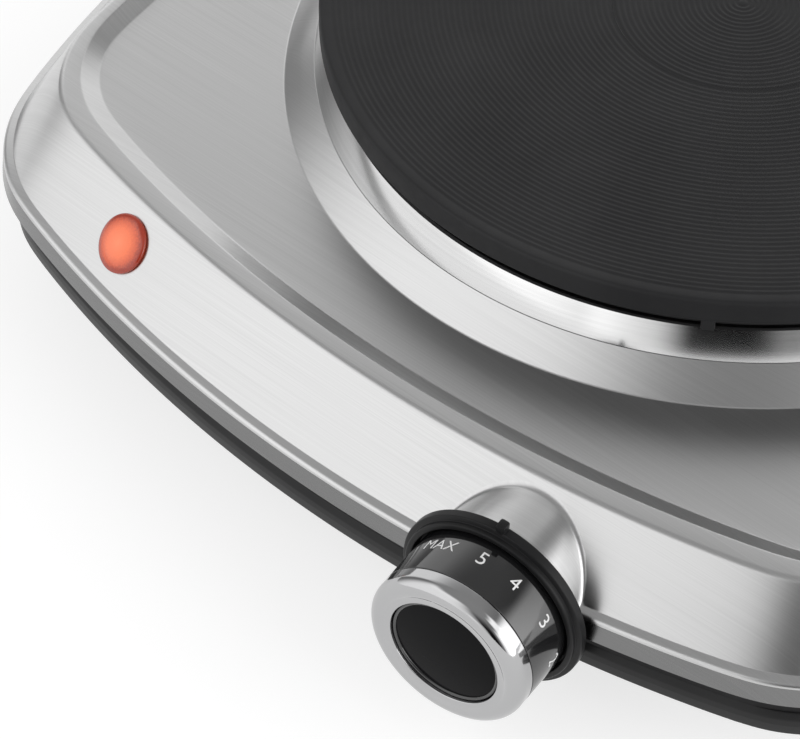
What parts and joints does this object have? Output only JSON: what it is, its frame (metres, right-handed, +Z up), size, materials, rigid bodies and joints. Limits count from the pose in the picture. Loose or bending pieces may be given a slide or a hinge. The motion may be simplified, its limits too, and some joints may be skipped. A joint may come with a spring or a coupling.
{
  "type": "hot plate burner",
  "caption": "Square electric hot plate with a round grooved cast plate in a polished ring, a bowed brushed steel housing, a black base with feet, a side lamp and a turning heat dial.",
  "frame": {"origin": "on the table, under the middle of the whole part's box", "axes": "+Z up, out of the cooking face; the front with the knob faces -Y; +X to the right seen from the front"},
  "size_m": [0.2828, 0.3014, 0.07],
  "materials": {
    "brushed_steel": "brushed along the width",
    "polished_ring": "polished",
    "cast_plate": "matt, machined in fine rings",
    "element": "dull",
    "ceramic": "matt ceramic",
    "plain_steel": "zinc plated",
    "black_enamel": "satin",
    "black_rubber": "matt",
    "gloss_black": "gloss",
    "satin_black": "satin",
    "chrome": "polished",
    "moulding": "moulded",
    "brass": "plain",
    "lamp_orange": "translucent gloss",
    "bulb_glass": "clear",
    "lead_brown": "insulated",
    "lead_blue": "insulated",
    "lead_white": "insulated"
  },
  "bodies": {
    "housing": {"top_housing": "brushed_steel", "trim_ring": "polished_ring", "hot_plate": "cast_plate", "heating_rings": "element", "insulation": "ceramic", "plate_cover": "plain_steel", "element_pins": "plain_steel", "ceramic_beads": "ceramic", "clamp_stud": "plain_steel", "clamp_bar": "plain_steel", "clamp_washer": "plain_steel", "clamp_nut": "plain_steel", "heat_shield": "plain_steel", "thermal_cutout": "plain_steel", "base_tray": "black_enamel", "foot_front_left": "black_rubber", "foot_front_right": "black_rubber", "foot_rear_left": "black_rubber", "foot_rear_right": "black_rubber", "posts": "plain_steel", "foot_screws": "plain_steel", "dial_skirt": "satin_black", "thermostat_body": "moulding", "thermostat_back": "moulding", "contact_leaf": "brass", "thermostat_tabs": "brass", "thermostat_nut": "plain_steel", "lamp_lens": "lamp_orange", "lamp_clip": "plain_steel", "lamp_socket": "moulding", "lamp_bulb": "bulb_glass", "cord_gland": "black_rubber", "cord_saddle": "moulding", "cord_bridge": "moulding", "cord_clamp_screws": "plain_steel", "terminal_block": "moulding", "terminal_screws": "brass", "earth_tab": "brass", "earth_screw": "plain_steel", "live_lead": "lead_brown", "load_lead": "lead_brown", "neutral_lead": "lead_blue", "lamp_lead": "lead_white"},
    "knob": {"dial_drum": "gloss_black", "knob_bezel": "chrome", "knob_cap": "gloss_black", "knob_clip": "plain_steel", "thermostat_shaft": "plain_steel", "thermostat_cam": "ceramic"}
  },
  "joints": [
    {"name": "knob_turn", "type": "hinge", "parent": "housing", "child": "knob", "pos_m": [0.0486, -0.12889, 0.0311], "axis": [0.1219, -0.9925, 0], "range_deg": [-30, 150]}
  ]
}
